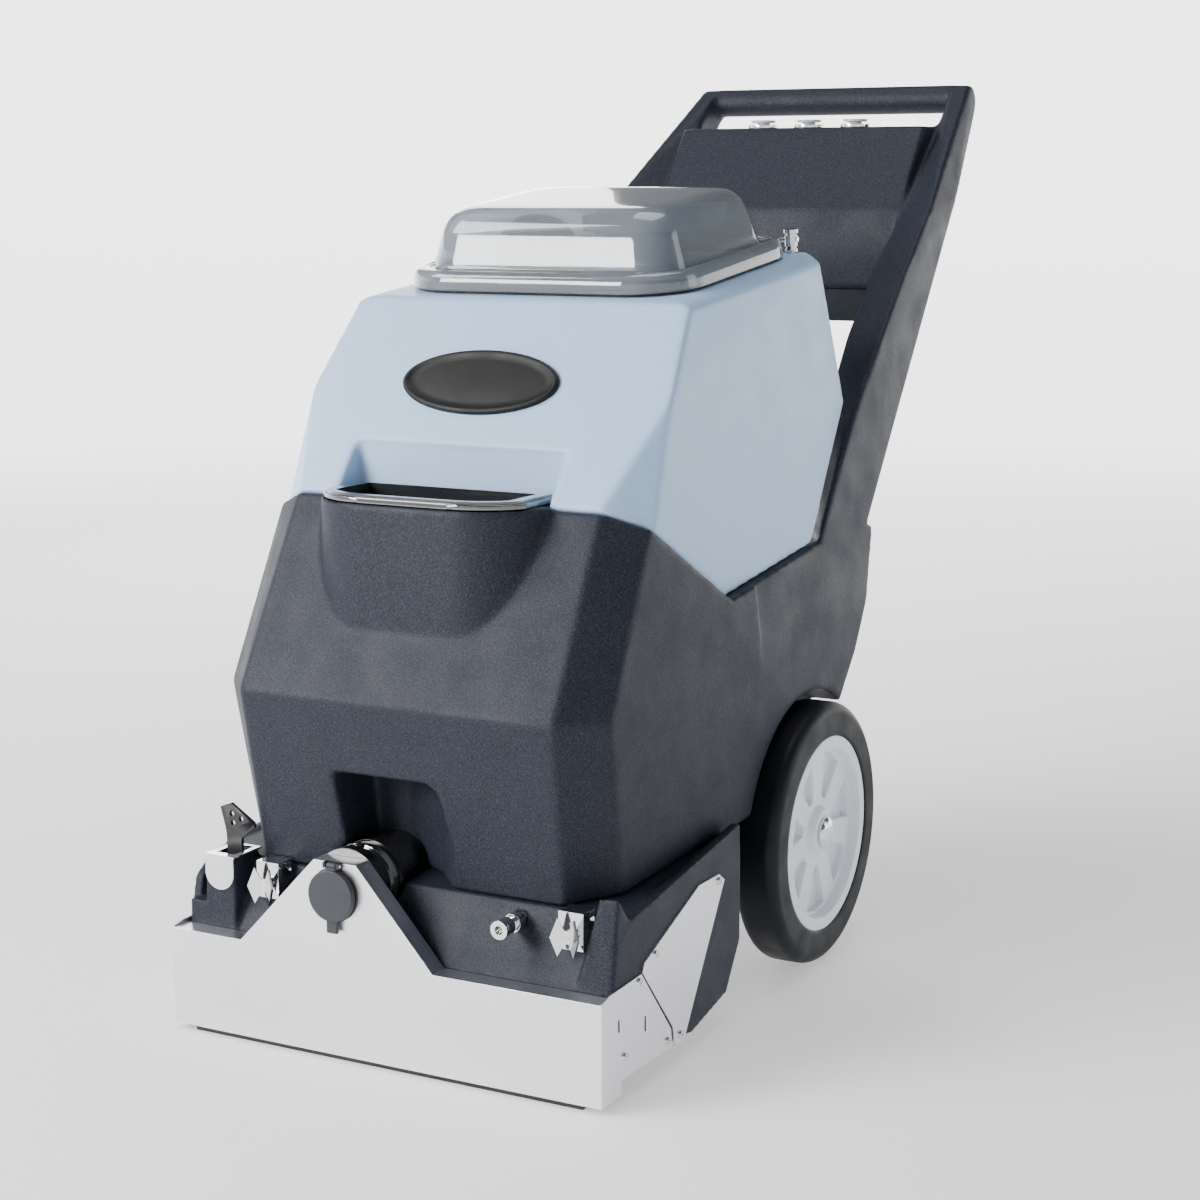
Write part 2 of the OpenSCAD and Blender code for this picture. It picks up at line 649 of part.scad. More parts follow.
// The tank's front face, from its foot to its head, back and up, and the badge's place along it
tank_foot = [131, 527.1];
tank_head = [275, 711.6];
badge_at = tank_foot + 0.575 * (tank_head - tank_foot);
module blank_badge() color([0.05, 0.05, 0.06]) place()
    translate([-9, badge_at[0], badge_at[1]])
    rotate([atan2(tank_head[1] - tank_foot[1], tank_head[0] - tank_foot[0]), 0, 0]) difference() {
        translate([0, 0, dot]) linear_extrude(5) scale([88, 37]) circle(1);
        translate([0, 0, 3.5]) linear_extrude(5) scale([80, 30]) circle(1);
    }

module lid_gasket() color([0.12, 0.12, 0.13]) place() on_top() translate([0, 4, 0.75]) linear_extrude(2.4)
    difference() {
        rounded(lid_w - 4, lid_l - 8, 60);
        translate([0, 10]) rounded(lid_w - 14, lid_l - 28, 50);
    }

module hinge_posts() color([0.8, 0.8, 0.82]) place() on_top() for (x = [-150, 150]) difference() {
    union() {
        rod_z(-2.5, 22, 3, x, hinge_s);
        rod_z(0.8, 4, 7, x, hinge_s);
        rod_z(4, 7, 5.5, x, hinge_s);
        rod_z(7, 19, 7, x, hinge_s);
        rod_z(19, 21, 5.5, x, hinge_s);
        rod_z(21, 25, 8, x, hinge_s);
    }
    rod_x(x - 20, x + 20, 3, hinge_s, hinge_h);
}

module hinge_pin() color([0.75, 0.75, 0.77]) place() on_top() rod_x(-158, 158, 3, hinge_s, hinge_h);

// The dome's plan at height z: half-width w, from front y0 to back y1
module dome_ring(w, y0, y1, z, r) translate([0, y0, z]) linear_extrude(0.02) offset(r, $fn = smooth)
    translate([-w + r, r]) square([2 * (w - r), y1 - y0 - 2 * r]);
module dome(g, base) hull() {
    dome_ring(145 - g, 30 + g, 270 - g, base, 40);
    dome_ring(136 - g, 38 + g, 262 - g, dome_h - 22 - g, 38);
    dome_ring(127 - g, 48 + g, 254 - g, dome_h - 6 - g, 34);
    dome_ring(115 - g, 62 + g, 243 - g, dome_h - g, 28);
}

module clear_lid() color([0.85, 0.88, 0.9, 0.5]) place() on_top() difference() {
    union() {
        translate([0, 0, 3.4]) linear_extrude(lid_flange - 3.4) rounded(lid_w, lid_l, 65);
        dome(0, lid_flange - 1);
        for (x = [-84, 70]) {
            rod_x(x, x + 14, 7, hinge_s, hinge_h);
            block(x, x + 14, lid_l - 6, hinge_s, hinge_h - 6, hinge_h + 6);
        }
    }
    translate([0, 6, 3]) linear_extrude(lid_flange - 3 - lid_wall) rounded(lid_w - 6, lid_l - 12, 59);
    dome(lid_wall, lid_flange - lid_wall - 1);
    rod_x(-90, 90, 3 + run_gap, hinge_s, hinge_h);
}

module inlet_dome() color([0.1, 0.1, 0.11]) place() on_top() difference() {
    union() {
        intersection() {
            translate([-72, 150, 22]) sphere(44);
            block(-130, -20, 90, 210, 22, 90);
        }
        rod_z(-40, 22, 44, -72, 150);
        translate([0, 40, -5]) linear_extrude(5) intersection() {
            rounded(128, 198, 34);
            translate([-130, 60]) square([114, 100]);
        }
    }
    translate([-72, 150, 20]) sphere(40);
    rod_z(-41, 20, 40, -72, 150);
}

module float_housing() color([0.7, 0.77, 0.83]) place() on_top() difference() {
    union() {
        translate([46, 152, 44]) linear_extrude(20) rounded(70, 84, 18);
        translate([40, 158, 34]) linear_extrude(6) rounded(52, 70, 14);
        rod_z(-50, 44, 33, 40, 194);
        translate([0, 40, -5]) linear_extrude(5) intersection() {
            rounded(128, 198, 34);
            translate([-10, 104]) square([140, 100]);
        }
    }
    rod_z(-46, 38, 29, 40, 194);
    rod_z(-51, -45, 15, 40, 194);
    for (a = [0, 60, 120]) translate([40, 194, -28]) rotate([0, 0, a]) cube([80, 14, 30], center = true);
}

module float_ball() color([0.9, 0.9, 0.9]) place() on_top() difference() {
    translate([40, 194, -21.5]) sphere(24);
    translate([40, 194, -21.5]) sphere(22);
}

skirt_plate();
side_plate_left();
side_plate_right();
vacuum_shoe();
port_collar();
port_cap();
cap_pin();
vacuum_duct();
duct_clip();
base_housing();
chassis_frame();
spray_bar();
spray_nozzles();
brush_hangers();
brush_core();
brush_bristles();
brush_pulley();
drive_belt();
brush_motor();
motor_pulley();
vacuum_motor();
solution_pump();
solution_tank();
pocket_rim();
fill_strainer();
handle_arm_left();
handle_arm_right();
handle_grip();
control_console();
console_cover();
switch_bezels();
switch_left();
switch_middle();
switch_right();
cord_gland();
axle();
tyre_left();
tyre_right();
hub_left();
hub_right();
axle_cap_left();
axle_cap_right();
lever_bracket();
lever_pin();
foot_lever();
latch_brackets();
latch_wing_left();
latch_wing_right();
quick_coupling();
coupling_sleeve();
plate_screws();
recovery_tank();
blank_badge();
lid_gasket();
hinge_posts();
hinge_pin();
clear_lid();
inlet_dome();
float_housing();
float_ball();
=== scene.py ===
"""Looks of the walk-behind carpet cleaner: one pale studio, and a finished skin on every CAD node."""
import json
import math

import bmesh
import bpy
from mathutils import Matrix, Vector


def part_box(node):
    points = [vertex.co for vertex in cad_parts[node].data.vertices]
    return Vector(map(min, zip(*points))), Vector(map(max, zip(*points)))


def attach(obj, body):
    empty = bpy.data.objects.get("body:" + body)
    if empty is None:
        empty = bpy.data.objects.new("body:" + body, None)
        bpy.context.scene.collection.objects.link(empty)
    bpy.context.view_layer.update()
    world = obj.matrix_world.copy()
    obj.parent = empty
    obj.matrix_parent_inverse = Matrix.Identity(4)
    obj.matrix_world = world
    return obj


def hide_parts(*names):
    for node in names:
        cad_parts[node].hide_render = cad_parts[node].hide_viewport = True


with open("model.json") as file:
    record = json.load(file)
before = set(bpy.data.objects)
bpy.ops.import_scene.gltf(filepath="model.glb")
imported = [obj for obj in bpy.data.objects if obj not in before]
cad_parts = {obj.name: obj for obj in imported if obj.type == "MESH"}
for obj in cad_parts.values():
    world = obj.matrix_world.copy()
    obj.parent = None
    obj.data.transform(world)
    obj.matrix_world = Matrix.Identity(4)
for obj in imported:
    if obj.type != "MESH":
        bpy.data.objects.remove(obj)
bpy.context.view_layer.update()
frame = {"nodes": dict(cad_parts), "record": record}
NODES = frame["nodes"]
BODY_OF = {node: body for body, members in frame["record"]["behaviour"]["bodies"].items() for node in members}
SLOT_OF = {part["node"]: part["material_slot"] for part in frame["record"]["subparts"]}
PIECE_OF = {}                               # CAD node: the visible piece that stands for it
MM = 0.001
FRONT_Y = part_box("skirt_plate")[0].y        # front face of the steel shoe
WHEEL_AXIS = sum(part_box("axle"), Vector()) / 2


def shop(x, y, z):
    """A place given in mm, with y counted from the shoe's front face."""
    return Vector((x * MM, FRONT_Y + y * MM, z * MM))


LID_ORIGIN = shop(0, 293, 715)
LID_TILT = math.radians(7)
FACE_FOOT = shop(0, 131, 527.1)             # the recovery tank's sloping front face
FACE_HEAD = shop(0, 275, 711.6)
FACE_LEAN = math.atan2(FACE_HEAD.z - FACE_FOOT.z, FACE_HEAD.y - FACE_FOOT.y)
# closes the fill pocket's drain, so that the tank's inner skin comes loose and is dropped
DRAIN_PLUG = ((-40, 90, 396), (24, 146, 436))
BEVEL_WIDTH = 0.5 * MM
FLAT_WITHIN, EDGE_FROM, SHARP_FROM = 0.6, 32, 35   # degrees between two faces


# ---- camera, floor and light ----

def make_camera():
    camera = bpy.data.objects.new("camera", bpy.data.cameras.new("camera"))
    camera.data.lens = 69.8
    camera.data.sensor_width = 36
    camera.location = (1.173, -2.289, 0.8199)
    camera.rotation_euler = (math.radians(80), 0, math.radians(28.2))
    bpy.context.scene.collection.objects.link(camera)
    bpy.context.scene.camera = camera


def make_light(name, place, target, width, height, power, colour=(1, 1, 1)):
    light = bpy.data.lights.new(name, "AREA")
    light.shape = "RECTANGLE"
    light.size, light.size_y = width, height
    light.energy = power
    light.color = colour
    lamp = bpy.data.objects.new(name, light)
    lamp.location = place
    lamp.rotation_euler = (Vector(target) - Vector(place)).to_track_quat("-Z", "Y").to_euler()
    bpy.context.scene.collection.objects.link(lamp)


def make_studio():
    """A grey world, paler near the horizon, and five soft boxes."""
    world = bpy.data.worlds.new("studio")
    bpy.context.scene.world = world
    world.use_nodes = True
    tree = world.node_tree
    background = tree.nodes["Background"]
    where = tree.nodes.new("ShaderNodeTexCoord")
    split = tree.nodes.new("ShaderNodeSeparateXYZ")
    ramp = tree.nodes.new("ShaderNodeValToRGB")
    tree.links.new(where.outputs["Generated"], split.inputs[0])
    tree.links.new(split.outputs["Z"], ramp.inputs[0])
    horizon, top = ramp.color_ramp.elements
    horizon.position, horizon.color = 0.02, (0.42, 0.43, 0.45, 1)
    top.position, top.color = 0.5, (0.20, 0.205, 0.215, 1)
    tree.links.new(ramp.outputs[0], background.inputs[0])
    background.inputs[1].default_value = 0.6
    make_light("front_softbox", (-1.45, -2.75, 1.35), (0, -0.2, 0.70), 1.3, 0.75, 95)
    make_light("key_softbox", (-2.2, -1.9, 2.6), (0, -0.1, 0.5), 1.5, 1.5, 100)
    make_light("right_softbox", (3.0, 1.3, 1.5), (0, 0, 0.5), 1.2, 1.8, 17, (0.88, 0.94, 1))
    make_light("top_softbox", (0.0, 0.2, 3.2), (0, 0, 0.6), 1.6, 1.6, 30)
    make_light("back_softbox", (-1.9, 2.2, 1.6), (0, 0, 0.7), 1.2, 1.4, 24)


def make_floor():
    """A round white sweep: a flat floor that curves up into a low wall all round."""
    reach, rise, bend, steps = 6.5, 1.9, 0.9, 72
    profile = [(0.01, 0), (reach - bend, 0)]
    profile += [(reach - bend + bend * math.sin(a), bend - bend * math.cos(a))
                for a in (math.radians(d) for d in range(10, 91, 10))]
    profile.append((reach, rise))
    shape = bmesh.new()
    rows = [[shape.verts.new((r * math.cos(t), r * math.sin(t), z)) for r, z in profile]
            for t in (2 * math.pi * k / steps for k in range(steps))]
    for a, b in zip(rows, rows[1:] + rows[:1]):
        for i in range(len(profile) - 1):
            shape.faces.new((a[i], b[i], b[i + 1], a[i + 1])).smooth = True
    shape.faces.new([row[0] for row in reversed(rows)])
    floor = new_piece("floor", shape)
    floor.data.materials.append(floor_paint())


# ---- materials ----

class Surface:
    """A Principled material and the few node patterns that these finishes share."""

    def __init__(self, name):
        self.material = bpy.data.materials.new(name)
        self.material.use_nodes = True
        self.tree = self.material.node_tree
        self.shader = self.tree.nodes["Principled BSDF"]
        self.place = self.tree.nodes.new("ShaderNodeTexCoord")
        self.bumps = None

    def set(self, **values):
        """Shader inputs by name, with _ for a space; a colour is given as three numbers."""
        for key, value in values.items():
            socket = self.shader.inputs[key.replace("_", " ")]
            socket.default_value = (*value, 1) if isinstance(value, tuple) else value

    def mapped(self, scale, turn=(0, 0, 0)):
        mapping = self.tree.nodes.new("ShaderNodeMapping")
        mapping.inputs["Scale"].default_value = scale
        mapping.inputs["Rotation"].default_value = [math.radians(a) for a in turn]
        self.tree.links.new(self.place.outputs["Object"], mapping.inputs[0])
        return mapping.outputs[0]

    def noise(self, scale, detail=2.0, rough=0.5, vector=None):
        node = self.tree.nodes.new("ShaderNodeTexNoise")
        node.inputs["Scale"].default_value = scale
        node.inputs["Detail"].default_value = detail
        node.inputs["Roughness"].default_value = rough
        self.tree.links.new(vector or self.place.outputs["Object"], node.inputs["Vector"])
        return node.outputs[0]

    def spread(self, value, low, high, start=0.3, end=0.7):
        """A pattern between start and end, stretched to run from low to high."""
        node = self.tree.nodes.new("ShaderNodeMapRange")
        for socket, number in zip(("From Min", "From Max", "To Min", "To Max"), (start, end, low, high)):
            node.inputs[socket].default_value = number
        self.tree.links.new(value, node.inputs["Value"])
        return node.outputs[0]

    def colours(self, value, stops):
        ramp = self.tree.nodes.new("ShaderNodeValToRGB")
        while len(ramp.color_ramp.elements) < len(stops):
            ramp.color_ramp.elements.new(0.5)
        for element, (position, colour) in zip(ramp.color_ramp.elements, stops):
            element.position = position
            element.color = (*colour, 1)
        self.tree.links.new(value, ramp.inputs[0])
        self.tree.links.new(ramp.outputs[0], self.shader.inputs["Base Color"])

    def roughness(self, value):
        self.tree.links.new(value, self.shader.inputs["Roughness"])

    def bump(self, value, depth, strength):
        """A relief on top of the ones already there."""
        node = self.tree.nodes.new("ShaderNodeBump")
        node.inputs["Strength"].default_value = strength
        node.inputs["Distance"].default_value = depth
        self.tree.links.new(value, node.inputs["Height"])
        if self.bumps:
            self.tree.links.new(self.bumps, node.inputs["Normal"])
        self.bumps = node.outputs[0]
        self.tree.links.new(self.bumps, self.shader.inputs["Normal"])


def shaded(colour, factor):
    return tuple(min(1, c * factor) for c in colour)


def make_material(name, colour, roughness, metallic=0.0, grain=None, mottle=0.06, **values):
    """A plain finish: a faint mottle in its colour, some play in its roughness, and a grain
    of (scale, depth, strength)."""
    surface = Surface(name)
    surface.set(Metallic=metallic, **values)
    cloud = surface.noise(9.0, 3.0)
    surface.colours(cloud, [(0.3, shaded(colour, 1 - mottle)), (0.7, shaded(colour, 1 + mottle))])
    surface.roughness(surface.spread(surface.noise(35.0, 4.0), roughness * 0.85, min(1, roughness * 1.18)))
    if grain:
        scale, depth, strength = grain
        surface.bump(surface.noise(scale), depth, strength)
    return surface.material


def charcoal_plastic():
    """Rotomoulded plastic: a cast orange peel with paler flecks."""
    surface = Surface("charcoal_plastic")
    surface.set(Specular_IOR_Level=0.22)
    fleck = surface.noise(760.0, 2.5, 0.62)
    surface.colours(fleck, [(0.32, (0.006, 0.0075, 0.013)), (0.50, (0.0155, 0.0185, 0.029)),
                            (0.62, (0.027, 0.032, 0.048)), (0.76, (0.050, 0.057, 0.081))])
    surface.roughness(surface.spread(surface.noise(24.0, 3.0), 0.46, 0.58))
    surface.bump(surface.noise(430.0, 3.0, 0.6), 0.00045, 0.75)
    return surface.material


def tank_plastic():
    """Pale rotomoulded plastic: satin, with a fine shallow grain."""
    surface = Surface("tank_plastic")
    surface.set(Specular_IOR_Level=0.45, Subsurface_Weight=0.04)
    surface.colours(surface.noise(7.0, 3.0), [(0.3, (0.385, 0.550, 0.785)), (0.7, (0.405, 0.575, 0.810))])
    surface.roughness(surface.spread(surface.noise(28.0, 3.0), 0.34, 0.46))
    surface.bump(surface.noise(520.0, 3.0, 0.6), 0.0002, 0.5)
    return surface.material


def brushed_steel():
    """Steel sheet with two layers of hairlines that slant down the front, and faint smudges."""
    surface = Surface("steel")
    surface.set(Metallic=1.0, Anisotropic=0.35)
    hair = surface.noise(1.0, 4.0, 0.7, surface.mapped((1300, 1300, 14), (0, 24, 0)))
    hair_fine = surface.noise(1.0, 2.0, 0.5, surface.mapped((3200, 3200, 30), (0, 21, 0)))
    surface.colours(surface.noise(4.0, 3.0), [(0.3, (0.86, 0.865, 0.89)), (0.7, (0.92, 0.925, 0.945))])
    surface.roughness(surface.spread(hair, 0.26, 0.42))
    surface.bump(hair, 0.00004, 0.35)
    surface.bump(hair_fine, 0.00003, 0.3)
    return surface.material


def chrome():
    surface = Surface("chrome")
    surface.set(Metallic=1.0)
    surface.colours(surface.noise(40.0), [(0.3, (0.74, 0.74, 0.75)), (0.7, (0.82, 0.82, 0.83))])
    surface.roughness(surface.spread(surface.noise(180.0, 3.0), 0.05, 0.13))
    surface.bump(surface.noise(90.0), 0.00015, 0.15)
    return surface.material


def clear_plastic():
    """Smoky clear plastic, a little wavy under a clear gloss."""
    surface = Surface("clear_plastic")
    surface.set(Roughness=0.10, IOR=1.2, Transmission_Weight=0.74, Coat_Weight=0.7, Coat_IOR=1.7,
                Coat_Roughness=0.02)
    surface.colours(surface.noise(8.0), [(0.3, (0.40, 0.44, 0.475)), (0.7, (0.43, 0.47, 0.505))])
    surface.bump(surface.noise(14.0), 0.0006, 0.12)
    return surface.material


def bristle():
    """Filaments: thin streaks across the brush's length, over coarse tufts."""
    surface = Surface("bristle")
    strand = surface.noise(1.0, 3.0, 0.7, surface.mapped((900, 60, 60)))
    tuft = surface.noise(1.0, 1.0, 0.4, surface.mapped((110, 70, 70), (12, 0, 0)))
    surface.colours(strand, [(0.35, (0.006, 0.006, 0.008)), (0.7, (0.045, 0.045, 0.052))])
    surface.roughness(surface.spread(tuft, 0.35, 0.6))
    surface.bump(tuft, 0.004, 0.8)
    surface.bump(strand, 0.0012, 0.8)
    return surface.material


def floor_paint():
    """White paint that glows more towards the back, like a lit backdrop."""
    surface = Surface("floor_paint")
    surface.set(Emission_Color=(1, 1, 1), Specular_IOR_Level=0.1)
    distance_back = surface.tree.nodes.new("ShaderNodeVectorMath")
    distance_back.operation = "DOT_PRODUCT"
    distance_back.inputs[1].default_value = (-0.47, 0.88, 0)
    surface.tree.links.new(surface.place.outputs["Object"], distance_back.inputs[0])
    glow = surface.spread(distance_back.outputs["Value"], 0.5, 2.4, start=0.2, end=4.5)
    surface.tree.links.new(glow, surface.shader.inputs["Emission Strength"])
    surface.colours(surface.noise(0.6), [(0.3, (0.80, 0.80, 0.81)), (0.7, (0.82, 0.82, 0.825))])
    surface.roughness(surface.spread(surface.noise(20.0), 0.8, 0.9))
    return surface.material


def make_materials():
    """One material for each slot of the record."""
    return {
        "charcoal_plastic": charcoal_plastic(),
        "tank_plastic": tank_plastic(),
        "clear_plastic": clear_plastic(),
        "steel": brushed_steel(),
        "chrome": chrome(),
        "black_plastic": make_material("black_plastic", (0.012, 0.012, 0.014), 0.42,
                                       grain=(500, 0.0002, 0.4)),
        "gloss_black": make_material("gloss_black", (0.008, 0.008, 0.009), 0.14, Coat_Weight=0.6,
                                     Coat_Roughness=0.06),
        "grey_rubber": make_material("grey_rubber", (0.026, 0.030, 0.038), 0.55, grain=(700, 0.0002, 0.5)),
        "black_rubber": make_material("black_rubber", (0.012, 0.012, 0.012), 0.6, grain=(600, 0.0003, 0.5)),
        "tyre_rubber": make_material("tyre_rubber", (0.004, 0.005, 0.008), 0.5, grain=(420, 0.0002, 0.35),
                                     Specular_IOR_Level=0.25),
        "hub_plastic": make_material("hub_plastic", (0.80, 0.835, 0.88), 0.34, grain=(300, 0.0001, 0.3),
                                     mottle=0.02),
        "light_plastic": make_material("light_plastic", (0.50, 0.52, 0.54), 0.4, grain=(500, 0.0001, 0.3)),
        "brass": make_material("brass", (0.62, 0.44, 0.16), 0.28, metallic=1.0, grain=(300, 0.0001, 0.2)),
        "motor_paint": make_material("motor_paint", (0.030, 0.032, 0.037), 0.4, grain=(420, 0.0002, 0.4)),
        "bristle": bristle(),
        "silver_metal": make_material("silver_metal", (0.56, 0.56, 0.58), 0.32, metallic=1.0,
                                      grain=(350, 0.0001, 0.2)),
    }


def repaint_details():
    """Pieces whose finish differs from the rest of their slot."""
    dark_gloss = make_material("dark_gloss", (0.020, 0.021, 0.024), 0.12, Specular_IOR_Level=1.0,
                               Coat_Weight=1.0, Coat_IOR=1.9, Coat_Roughness=0.03)
    badge_satin = make_material("badge_satin", (0.006, 0.006, 0.006), 0.5, grain=(300, 0.0001, 0.2),
                                Specular_IOR_Level=0.28)
    for node, material in (("pocket_rim", dark_gloss), ("fill_strainer", dark_gloss),
                           ("foot_lever", MATERIALS["black_plastic"]), ("blank_badge", badge_satin)):
        PIECE_OF[node].data.materials[0] = material


# ---- making pieces ----

def new_piece(name, shape):
    mesh = bpy.data.meshes.new(name)
    shape.to_mesh(mesh)
    shape.free()
    piece = bpy.data.objects.new(name, mesh)
    bpy.context.scene.collection.objects.link(piece)
    return piece


def copy_of(nodes):
    shape = bmesh.new()
    for node in nodes:
        shape.from_mesh(NODES[node].data)
    bmesh.ops.remove_doubles(shape, verts=shape.verts, dist=1e-6)
    return shape


def add_box(shape, low, high):
    """A closed box between two corners, given in mm from the shoe's front face."""
    low, high = shop(*low), shop(*high)
    for vert in bmesh.ops.create_cube(shape, size=1)["verts"]:
        vert.co = Vector(low[i] + (vert.co[i] + 0.5) * (high[i] - low[i]) for i in range(3))


def bake(piece):
    """Apply a piece's modifiers."""
    bpy.context.view_layer.update()
    seen = piece.evaluated_get(bpy.context.evaluated_depsgraph_get())
    mesh = bpy.data.meshes.new_from_object(seen)
    piece.modifiers.clear()
    piece.data = mesh


def finish_piece(piece, nodes, sharp=None):
    """Shade, paint and mount a piece that stands for CAD nodes; the first one gives its slot and body."""
    slot = SLOT_OF[nodes[0]]
    piece.data.shade_smooth()
    if sharp:
        piece.data.set_sharp_from_angle(angle=math.radians(sharp))
    piece.data.materials.clear()
    piece.data.materials.append(MATERIALS[slot])
    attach(piece, BODY_OF[nodes[0]])
    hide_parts(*nodes)
    PIECE_OF.update((node, piece) for node in nodes)


def keep_outside(piece):
    """Drop the closed skins of inner cavities: only the largest connected skin stays."""
    shape = bmesh.new()
    shape.from_mesh(piece.data)
    left = set(shape.verts)
    skins = []
    while left:
        start = left.pop()
        skin, edge = [start], [start]
        while edge:
            vert = edge.pop()
            for link in vert.link_edges:
                other = link.other_vert(vert)
                if other in left:
                    left.discard(other)
                    skin.append(other)
                    edge.append(other)
        skins.append(skin)
    skins.sort(key=len)
    doomed = [vert for skin in skins[:-1] for vert in skin]
    if doomed:
        bmesh.ops.delete(shape, geom=doomed, context="VERTS")
        shape.to_mesh(piece.data)
    shape.free()


def moulded(name, nodes, voxel, passes, most_faces, plugs=()):
    """One moulded skin over CAD nodes: their solids joined, remeshed and relaxed, so every edge is round.
    The voxel is in mm, and each pass is a remesh with that many rounds of smoothing."""
    shape = copy_of(nodes)
    for low, high in plugs:
        add_box(shape, low, high)
    piece = new_piece(name, shape)
    for rounds in passes:
        remesh = piece.modifiers.new("remesh", "REMESH")
        remesh.mode = "VOXEL"
        remesh.voxel_size = voxel * MM
        relax = piece.modifiers.new("relax", "SMOOTH")
        relax.factor = 0.5
        relax.iterations = rounds
        bake(piece)
        keep_outside(piece)
    count = sum(len(face.vertices) - 2 for face in piece.data.polygons)
    if count > most_faces:
        thin = piece.modifiers.new("thin", "DECIMATE")
        thin.ratio = most_faces / count
        bake(piece)
    finish_piece(piece, nodes)


def refined(node):
    """A copy of a CAD node with its edges broken by a small bevel."""
    piece = new_piece(node + "_finished", copy_of([node]))
    flat = piece.modifiers.new("flat", "DECIMATE")
    flat.decimate_type = "DISSOLVE"
    flat.angle_limit = math.radians(FLAT_WITHIN)
    bevel = piece.modifiers.new("bevel", "BEVEL")
    bevel.width = BEVEL_WIDTH
    bevel.segments = 2
    bevel.limit_method = "ANGLE"
    bevel.angle_limit = math.radians(EDGE_FROM)
    normals = piece.modifiers.new("normals", "WEIGHTED_NORMAL")
    normals.keep_sharp = True
    piece.data.shade_smooth()
    bake(piece)
    finish_piece(piece, [node], SHARP_FROM)


def lathe(shape, profile, centre, steps, side):
    """Turn (radius, offset) points about a line along X through centre."""
    rings = []
    for k in range(steps):
        angle = 2 * math.pi * k / steps
        up, along = math.sin(angle), math.cos(angle)
        rings.append([shape.verts.new(centre + Vector((side * offset, radius * along, radius * up)))
                      for radius, offset in profile])
    for k in range(steps):
        a, b = rings[k], rings[(k + 1) % steps]
        for i in range(len(profile) - 1):
            shape.faces.new((a[i], a[i + 1], b[i + 1], b[i]))
        shape.faces.new((a[-1], a[0], b[0], b[-1]))
    bmesh.ops.recalc_face_normals(shape, faces=shape.faces)


def rounded_ring(half_width, front, back, radius, height, steps=12):
    """Points of a rounded rectangle in the lid's own plane, in mm, from its front left corner round."""
    corners = [(-half_width + radius, front + radius, 180), (half_width - radius, front + radius, 270),
               (half_width - radius, back - radius, 0), (-half_width + radius, back - radius, 90)]
    return [Vector((x + radius * math.cos(math.radians(start + 90 * k / steps)),
                    y + radius * math.sin(math.radians(start + 90 * k / steps)), height))
            for x, y, start in corners for k in range(steps + 1)]


def loft(shape, rings, placing, cap_first=False, cap_last=False):
    """Faces between rings of points in mm, put in place by a matrix."""
    rows = [[shape.verts.new(placing @ (point * MM)) for point in ring] for ring in rings]
    for a, b in zip(rows, rows[1:]):
        for i in range(len(a)):
            j = (i + 1) % len(a)
            shape.faces.new((a[i], a[j], b[j], b[i]))
    if cap_first:
        shape.faces.new(rows[0])
    if cap_last:
        shape.faces.new(rows[-1])
    return rows


# ---- the machine ----

def make_tyre(side, node):
    """A solid tyre: a nearly flat tread, soft shoulders and a lip at the hub."""
    low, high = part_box("tyre_right")
    centre = Vector((side * (low.x + high.x) / 2, WHEEL_AXIS.y, WHEEL_AXIS.z))
    outer = high.z - WHEEL_AXIS.z
    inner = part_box("hub_right")[1].z - WHEEL_AXIS.z
    half = 25 * MM
    shoulder = 13 * MM
    lip = [(inner, -half + 1.5 * MM), (inner + 2 * MM, -half + 0.3 * MM), (inner + 5 * MM, -half)]
    wall = [(inner + 14 * MM, -half), (outer - shoulder, -half + 0.2 * MM)]
    bend = [(outer - shoulder + shoulder * math.sin(a), -half + shoulder * (1 - math.cos(a)))
            for a in (math.radians(d) for d in range(10, 90, 10))]
    tread = [(outer - 0.05 * MM, -half + shoulder), (outer, -6 * MM), (outer, -0.5 * MM)]
    edge = lip + wall + bend + tread
    profile = edge + [(radius, -offset) for radius, offset in reversed(edge)]
    shape = bmesh.new()
    lathe(shape, profile, centre, 144, side)
    finish_piece(new_piece(node + "_finished", shape), [node])


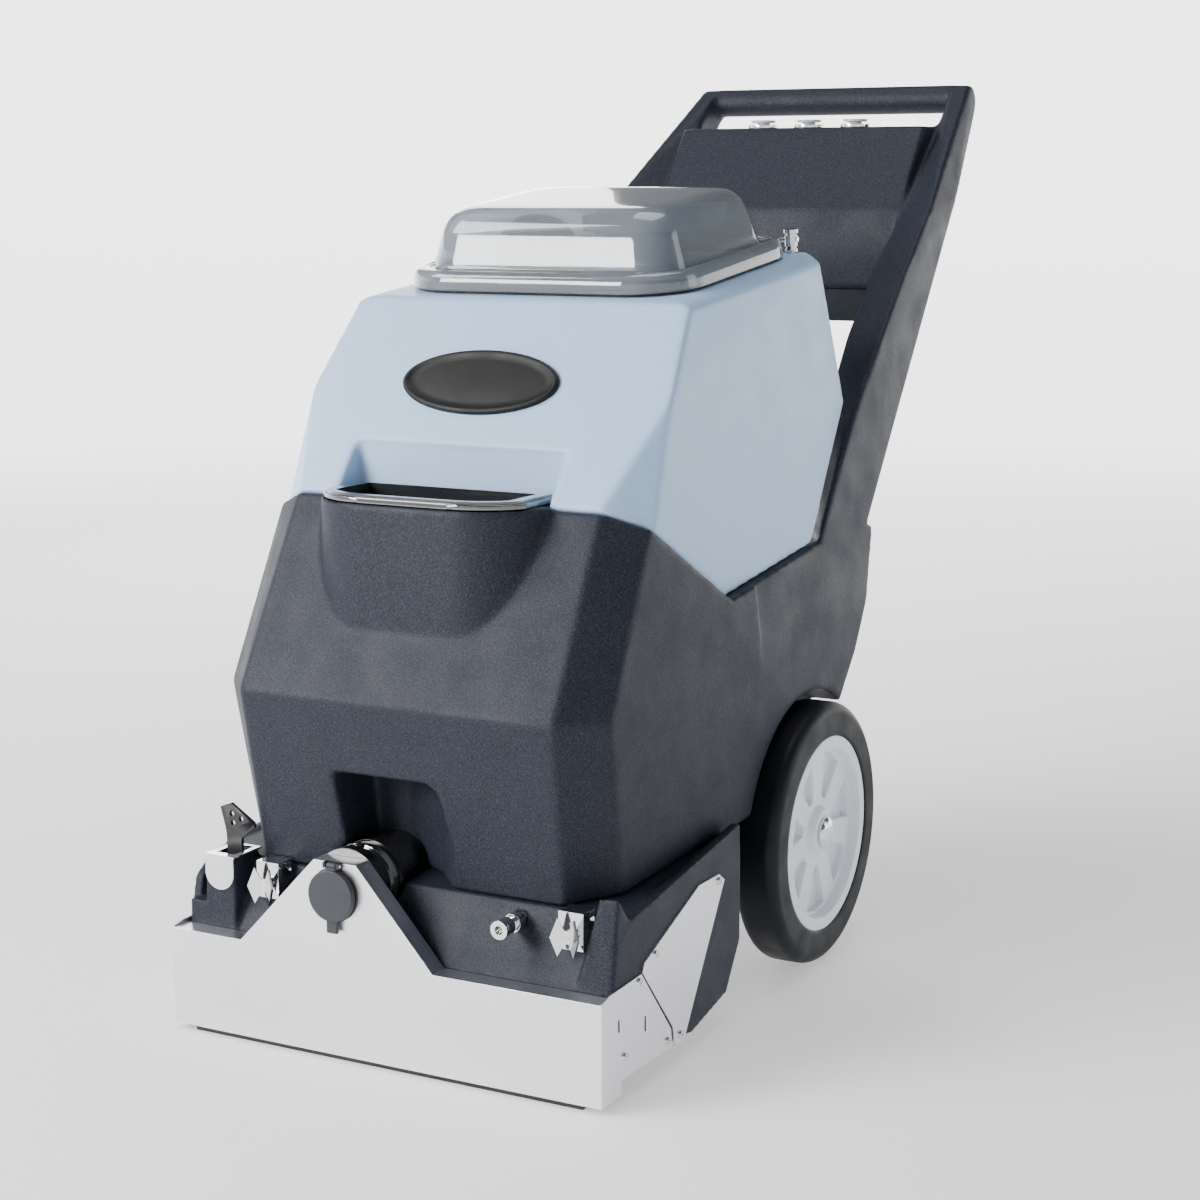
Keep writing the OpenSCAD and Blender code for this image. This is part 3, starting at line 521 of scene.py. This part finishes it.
def make_lid():
    """The clear lid: an outer and an inner skin, lofted through rounded rectangles."""
    placing = Matrix.Translation(LID_ORIGIN) @ Matrix.Rotation(LID_TILT, 4, "X")
    # each ring: half width, front, back, corner radius and height, in mm
    flange = [(165, 0, 308, 65, 3.4), (165, 0, 308, 65, 5), (164.2, 0.8, 307.2, 64, 12), (163, 2, 306, 63, 17),
              (161, 4, 304, 61, 20.2), (157.5, 7.5, 300.5, 58, 22), (153, 12, 296, 54, 22.2)]
    trough = [(150.5, 17, 290, 52, 21), (149, 22, 282, 50, 19.6), (147, 27, 275, 46, 19.8),
              (145.6, 29.5, 271.5, 43, 22.5)]
    dome = [(144.6, 30.6, 270, 41, 28), (141, 33.5, 267, 40, 40), (137.2, 37, 263, 38, 54),
            (134.8, 39.6, 261, 37.5, 61), (131, 44, 257.6, 36, 68.5), (126, 50, 252.5, 34, 74.2),
            (119, 58, 246, 30, 78), (110, 68, 238, 26, 79.7), (98, 80, 226, 22, 80), (60, 110, 196, 18, 80),
            (20, 140, 166, 10, 80)]
    outer = flange + trough + dome
    inset, flange_wall, least_radius = 3.0, 1.2, 6
    inner = []
    for half_width, front, back, radius, height in reversed(outer[1:]):
        in_dome = height > 19 and half_width < 150
        under = height - (inset if in_dome else flange_wall)
        corner = max(least_radius, radius - inset)
        inner.append((half_width - inset, front + inset, back - inset, corner, under))
    inner.append((159.5, 5.5, 302.5, 60, 3.4))
    shape = bmesh.new()
    rows = loft(shape, [rounded_ring(*ring) for ring in outer], placing, cap_last=True)
    rows_in = loft(shape, [rounded_ring(*ring) for ring in inner], placing, cap_first=True)
    for i in range(len(rows[0])):
        j = (i + 1) % len(rows[0])
        shape.faces.new((rows_in[-1][i], rows_in[-1][j], rows[0][j], rows[0][i]))
    bmesh.ops.recalc_face_normals(shape, faces=shape.faces)
    finish_piece(new_piece("clear_lid_finished", shape), ["clear_lid"], sharp=50)


def make_badge():
    """A blank oval badge: a raised rim round a slightly crowned plate."""
    low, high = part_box("blank_badge")
    across = Vector(((low.x + high.x) / 2, 0, 0))
    middle = across + FACE_FOOT + 0.575 * (FACE_HEAD - FACE_FOOT)
    placing = Matrix.Translation(middle) @ Matrix.Rotation(FACE_LEAN, 4, "X")
    # each ring: half length, half height and level above the tank's face, in mm
    rim = [(88, 37, 0.05), (88, 37, 2.6), (87.4, 36.4, 3.9), (86.2, 35.2, 4.7), (84.6, 33.6, 5.0),
           (83, 32, 4.7), (81.6, 30.6, 3.9), (80.4, 29.4, 3.3)]
    plate = [(72, 24.5, 3.6), (54, 18, 3.9), (30, 10, 4.1), (8, 3, 4.15)]
    steps = 96
    shape = bmesh.new()
    rings = [[Vector((a * math.cos(t), b * math.sin(t), level))
              for t in (2 * math.pi * k / steps for k in range(steps))] for a, b, level in rim + plate]
    loft(shape, rings, placing, cap_first=True, cap_last=True)
    bmesh.ops.recalc_face_normals(shape, faces=shape.faces)
    finish_piece(new_piece("blank_badge_finished", shape), ["blank_badge"], sharp=60)


make_camera()
make_studio()
make_floor()
MATERIALS = make_materials()

moulded("body_moulding",
        ["solution_tank", "handle_arm_left", "handle_arm_right", "handle_grip", "control_console"],
        voxel=2.6, passes=(5, 5), most_faces=190000, plugs=[DRAIN_PLUG])
moulded("recovery_moulding", ["recovery_tank"], voxel=2.8, passes=(12,), most_faces=170000)
moulded("deck_moulding", ["base_housing"], voxel=2.2, passes=(4,), most_faces=120000)
moulded("float_box_moulding", ["float_housing"], voxel=1.6, passes=(4,), most_faces=60000)
moulded("port_cap_moulding", ["port_cap"], voxel=0.8, passes=(3,), most_faces=40000)
moulded("pocket_rim_moulding", ["pocket_rim"], voxel=1.0, passes=(4,), most_faces=60000)
for side, name in ((1, "tyre_right"), (-1, "tyre_left")):
    make_tyre(side, name)
for name in ("hub_right", "hub_left"):
    moulded(name + "_moulding", [name], voxel=1.1, passes=(2,), most_faces=110000)
make_lid()
make_badge()
for name in sorted(set(NODES) - set(PIECE_OF)):
    refined(name)
repaint_details()
